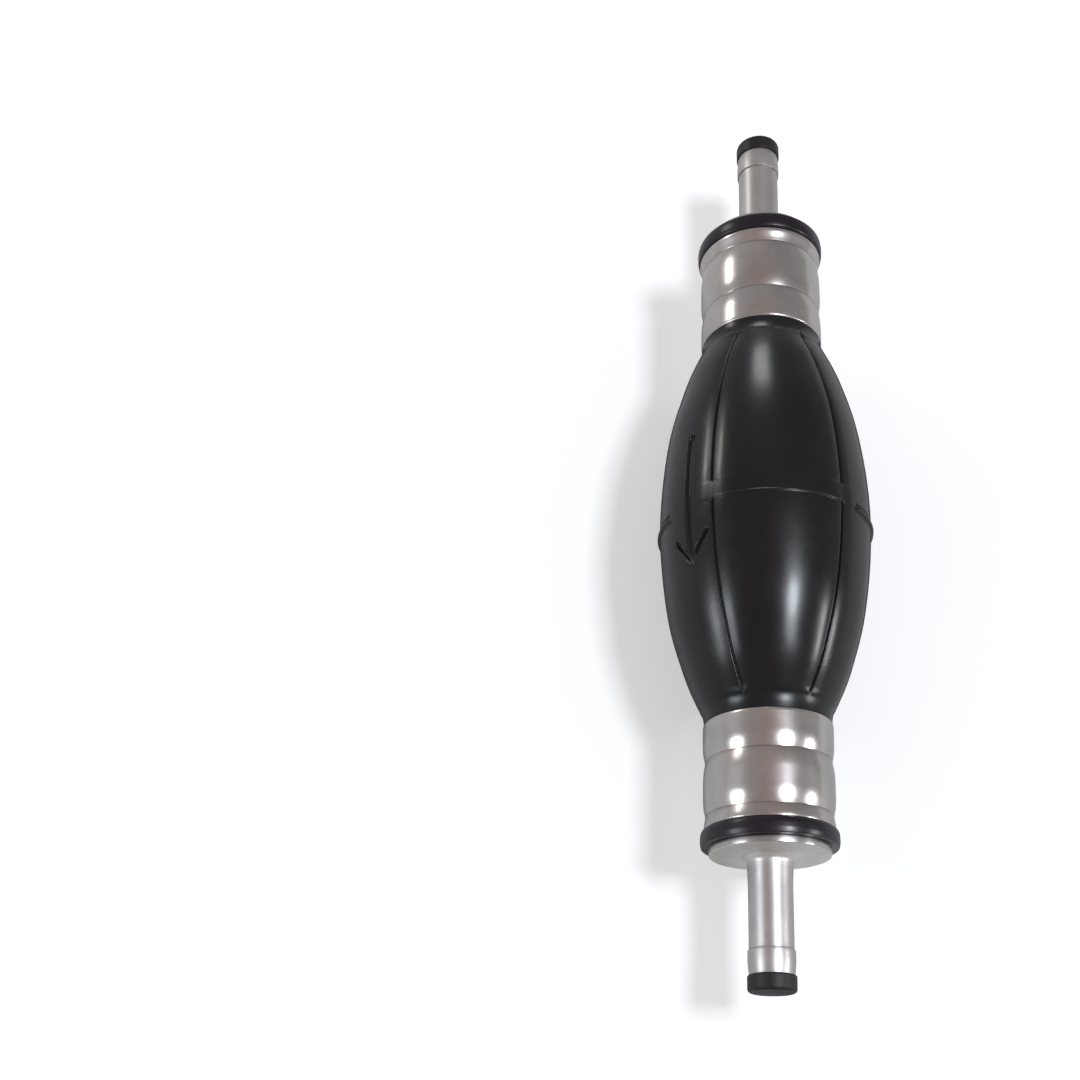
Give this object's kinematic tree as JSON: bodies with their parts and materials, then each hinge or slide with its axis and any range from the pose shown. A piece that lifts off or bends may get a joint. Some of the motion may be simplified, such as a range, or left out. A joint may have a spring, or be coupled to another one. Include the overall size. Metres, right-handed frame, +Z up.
{
  "type": "siphon bulb pump",
  "caption": "Hand-squeezed rubber siphon bulb between two crimped metal hose fittings, with a check valve at each end and push-in port caps.",
  "frame": {"origin": "middle of the pump on the axis of the bulb and both nipples", "axes": "+X along the axis, in the direction of flow, towards the outlet; +Z up, through the middle of the upper gripping panel; +Y across"},
  "size_m": [0.2222, 0.0512, 0.05],
  "materials": {
    "bulb_rubber": "satin",
    "ring_rubber": "gloss",
    "cap_rubber": "matte",
    "seal_rubber": "satin",
    "fitting_metal": "satin turned",
    "sleeve_metal": "satin",
    "valve_plastic": "matte",
    "spring_steel": "satin"
  },
  "bodies": {
    "root": {"bulb": "bulb_rubber", "inlet_fitting": "fitting_metal", "inlet_sleeve": "sleeve_metal", "inlet_end_ring": "ring_rubber", "inlet_valve_seat": "valve_plastic", "inlet_seat_o_ring": "seal_rubber", "inlet_valve_cage": "valve_plastic", "inlet_valve_spring": "spring_steel", "inlet_retaining_ring": "spring_steel", "outlet_fitting": "fitting_metal", "outlet_sleeve": "sleeve_metal", "outlet_end_ring": "ring_rubber", "outlet_valve_seat": "valve_plastic", "outlet_seat_o_ring": "seal_rubber", "outlet_valve_cage": "valve_plastic", "outlet_valve_spring": "spring_steel", "outlet_retaining_ring": "spring_steel"},
    "top_grip": {"bulb_top_grip_wall": "bulb_rubber"},
    "bottom_grip": {"bulb_bottom_grip_wall": "bulb_rubber"},
    "inlet_poppet": {"inlet_poppet": "valve_plastic", "inlet_poppet_seal": "seal_rubber"},
    "inlet_cap": {"inlet_port_cap": "cap_rubber"},
    "outlet_poppet": {"outlet_poppet": "valve_plastic", "outlet_poppet_seal": "seal_rubber"},
    "outlet_cap": {"outlet_port_cap": "cap_rubber"}
  },
  "joints": [
    {"name": "squeeze_top", "type": "slide", "parent": "root", "child": "top_grip", "axis": [0, 0, -1], "range_m": [0, 0.01], "stiffness_N_per_m": 2500},
    {"name": "squeeze_bottom", "type": "slide", "parent": "root", "child": "bottom_grip", "axis": [0, 0, 1], "range_m": [0, 0.01], "stiffness_N_per_m": 2500},
    {"name": "inlet_poppet_lift", "type": "slide", "parent": "root", "child": "inlet_poppet", "axis": [1, 0, 0], "range_m": [0, 0.0025], "stiffness_N_per_m": 40, "springref_m": -0.003, "deforming": ["inlet_valve_spring"]},
    {"name": "inlet_cap_pull", "type": "slide", "parent": "root", "child": "inlet_cap", "axis": [-1, 0, 0], "range_m": [0, 0.04]},
    {"name": "outlet_poppet_lift", "type": "slide", "parent": "root", "child": "outlet_poppet", "axis": [1, 0, 0], "range_m": [0, 0.0025], "stiffness_N_per_m": 40, "springref_m": -0.003, "deforming": ["outlet_valve_spring"]},
    {"name": "outlet_cap_pull", "type": "slide", "parent": "root", "child": "outlet_cap", "axis": [1, 0, 0], "range_m": [0, 0.04]}
  ],
  "couplings": [
    {"joint": "squeeze_bottom", "follows": "squeeze_top", "ratio": 1}
  ]
}
